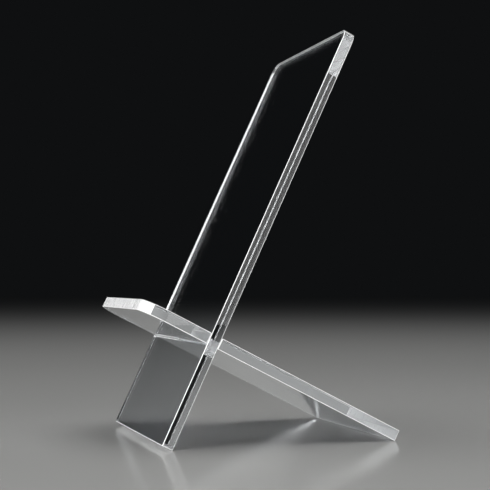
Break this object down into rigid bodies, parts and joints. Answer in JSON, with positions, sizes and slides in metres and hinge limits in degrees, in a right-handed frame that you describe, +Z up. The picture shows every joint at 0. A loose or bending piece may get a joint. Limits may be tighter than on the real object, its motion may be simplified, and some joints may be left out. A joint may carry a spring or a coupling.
{
  "type": "plate display stand",
  "caption": "Display stand for a dish: clear plates crossed in half-lap slots, one leaning back, the other forming the ledge in front and the foot behind.",
  "frame": {"origin": "on the table, at the centre of the stand's footprint", "axes": "+Z up, -Y towards the viewer of the displayed dish, +X across the stand, parallel to the crossing"},
  "size_m": [0.095, 0.1162, 0.1813],
  "materials": {
    "clear_acrylic_upright": "polished clear sheet, saw-cut edges",
    "clear_acrylic_cross": "polished clear sheet, saw-cut edges"
  },
  "bodies": {
    "upright": {"upright_plate": "clear_acrylic_upright"},
    "crosspiece": {"cross_plate": "clear_acrylic_cross"}
  },
  "joints": [
    {"name": "cross_plate_slide", "type": "slide", "parent": "upright", "child": "crosspiece", "axis": [-1, 0, 0], "range_m": [0, 0.1]}
  ]
}
